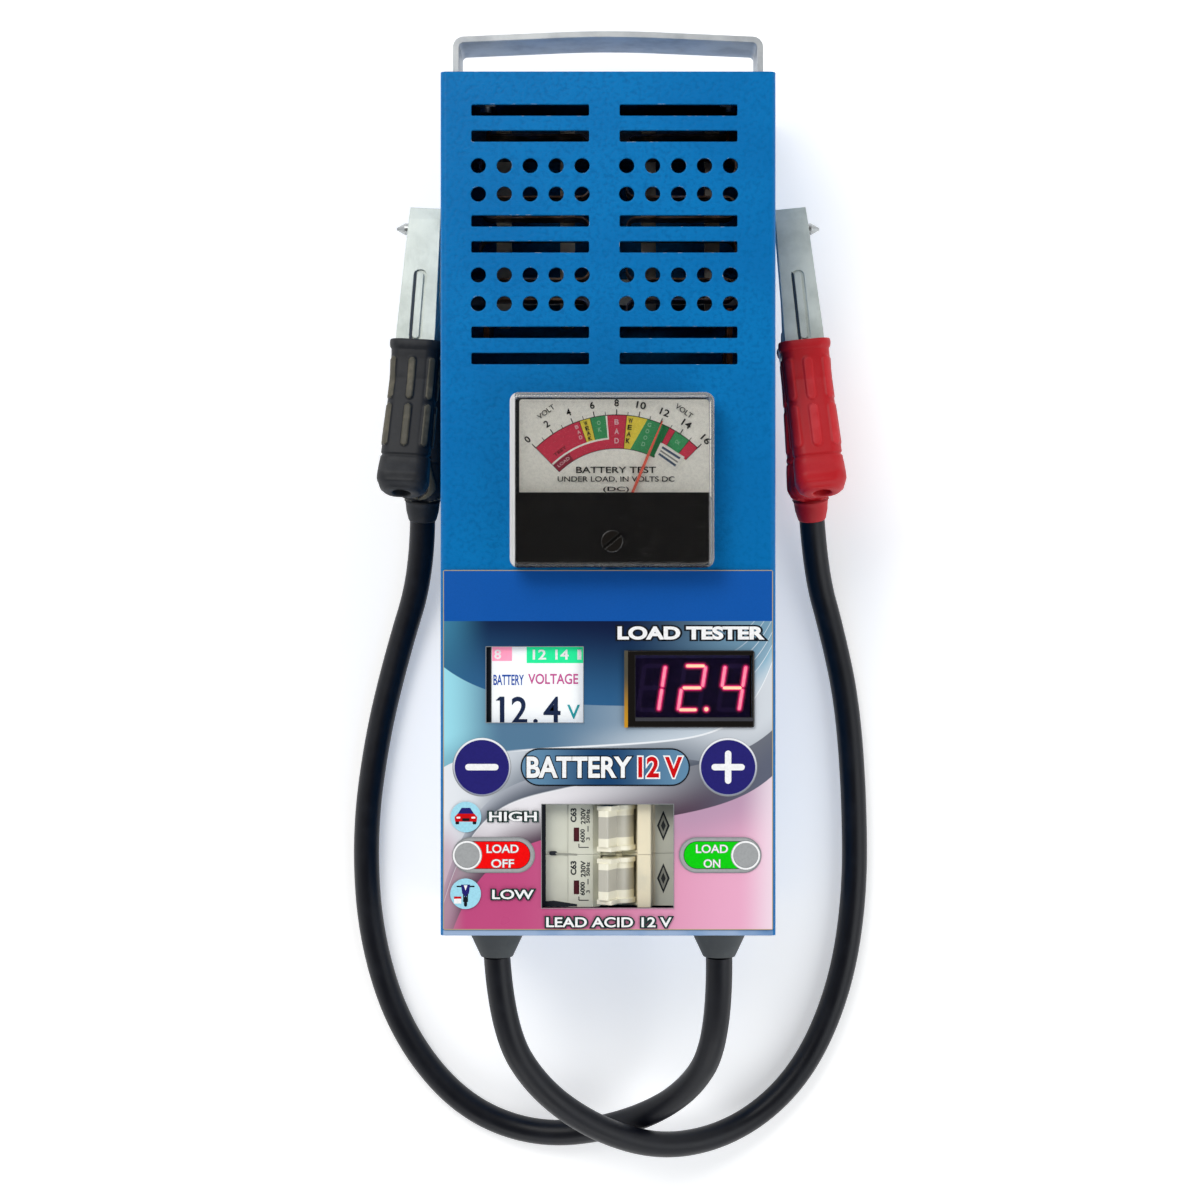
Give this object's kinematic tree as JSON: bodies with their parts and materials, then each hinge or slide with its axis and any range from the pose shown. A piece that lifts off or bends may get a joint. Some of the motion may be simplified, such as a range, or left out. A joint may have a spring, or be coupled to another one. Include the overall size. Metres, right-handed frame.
{
  "type": "battery load tester",
  "caption": "Hand-held battery load tester: folded steel case with strap handle, dial meter, digital readouts, toggle switches and clamp leads.",
  "frame": {"origin": "centre of the case's back face, which it lies on", "axes": "+Z out of the front panel, +Y towards the strap handle, +X to the right as the panel is read"},
  "size_m": [0.1839, 0.389, 0.0869],
  "materials": {
    "case_blue": "orange-peel powder coat",
    "label_film": "printed glossy film",
    "handle_steel": "dull zinc",
    "fastener_zinc": "bright zinc",
    "jaw_steel": "satin nickel",
    "spring_steel": "satin",
    "grip_black": "satin",
    "grip_red": "satin",
    "lead_rubber": "matte",
    "bushing_grey": "matte",
    "nylon_grey": "matte",
    "breaker_ivory": "satin",
    "flag_red": "matte",
    "meter_clear": "clear moulded plastic",
    "meter_black": "satin",
    "dial_card": "printed matte",
    "needle_red": "matte",
    "copper": "bare copper",
    "magnet_grey": "matte",
    "element_ribbon": "heat-browned",
    "ceramic": "matte",
    "board_green": "solder mask",
    "lcd_face": "glossy",
    "digit_black": "glossy",
    "filter_dark": "smoked",
    "lug_tin": "tinned"
  },
  "bodies": {
    "tester": {"black_clamp_spring": "spring_steel", "black_lead": "lead_rubber", "black_rear_grip": "grip_black", "black_rear_jaw": "jaw_steel", "breaker_flags": "flag_red", "bushing_nuts": "nylon_grey", "carry_strap": "handle_steel", "case_screws": "fastener_zinc", "ceramic_bars": "ceramic", "clamp_pins": "fastener_zinc", "din_rail": "fastener_zinc", "element_brackets": "fastener_zinc", "fascia_label": "label_film", "floor_screws": "fastener_zinc", "front_cover": "case_blue", "high_element": "element_ribbon", "high_strap": "copper", "lcd_board": "board_green", "lcd_screen": "lcd_face", "lead_lugs": "lug_tin", "lead_tails": "lead_rubber", "led_bezel": "meter_black", "led_board": "board_green", "led_digits": "digit_black", "led_filter": "filter_dark", "left_bushing": "bushing_grey", "left_parking_peg": "fastener_zinc", "low_element": "element_ribbon", "low_strap": "copper", "lower_breaker": "breaker_ivory", "meter_body": "meter_black", "meter_cover": "meter_clear", "meter_dial": "dial_card", "meter_magnet": "magnet_grey", "meter_mask": "meter_black", "meter_nuts": "fastener_zinc", "meter_studs": "fastener_zinc", "peg_nuts": "fastener_zinc", "rear_chassis": "case_blue", "red_clamp_spring": "spring_steel", "red_lead": "lead_rubber", "red_rear_grip": "grip_red", "red_rear_jaw": "jaw_steel", "return_busbar": "copper", "right_bushing": "bushing_grey", "right_parking_peg": "fastener_zinc", "strap_nuts": "fastener_zinc", "strap_screws": "fastener_zinc", "supply_busbar": "copper", "terminal_screws": "fastener_zinc", "upper_breaker": "breaker_ivory"},
    "upper_switch": {"upper_toggle": "breaker_ivory"},
    "lower_switch": {"lower_toggle": "breaker_ivory"},
    "meter_movement": {"meter_needle": "needle_red", "meter_coil": "copper"},
    "zero_adjuster": {"meter_zero_screw": "meter_black"},
    "black_clamp_front": {"black_front_jaw": "jaw_steel", "black_front_grip": "grip_black"},
    "red_clamp_front": {"red_front_jaw": "jaw_steel", "red_front_grip": "grip_red"}
  },
  "joints": [
    {"name": "upper_switch_tilt", "type": "hinge", "parent": "tester", "child": "upper_switch", "pos_m": [0.0036, -0.1067, 0.0648], "axis": [0, 1, 0], "range_deg": [0, 50]},
    {"name": "lower_switch_tilt", "type": "hinge", "parent": "tester", "child": "lower_switch", "pos_m": [0.0036, -0.1241, 0.0648], "axis": [0, 1, 0], "range_deg": [0, 50]},
    {"name": "needle_swing", "type": "hinge", "parent": "tester", "child": "meter_movement", "pos_m": [0.0028, -0.0089, 0.0808], "axis": [0, 0, 1], "range_deg": [-21.7, 67.3]},
    {"name": "zero_adjust_turn", "type": "hinge", "parent": "tester", "child": "zero_adjuster", "pos_m": [0.0013, -0.0126, 0.0865], "axis": [0, 0, 1], "continuous": true},
    {"name": "black_clamp_open", "type": "hinge", "parent": "tester", "child": "black_clamp_front", "pos_m": [-0.06445, 0.0539, 0.0375], "axis": [0.9954, -0.0556, 0.0785], "range_deg": [0, 26], "stiffness_Nm_per_rad": 1.1, "springref_deg": -51.57, "deforming": ["black_clamp_spring"]},
    {"name": "red_clamp_open", "type": "hinge", "parent": "tester", "child": "red_clamp_front", "pos_m": [0.0668, 0.0539, 0.0375], "axis": [0.9954, 0.0958, 0], "range_deg": [0, 26], "stiffness_Nm_per_rad": 1.1, "springref_deg": -51.57, "deforming": ["red_clamp_spring"]}
  ]
}
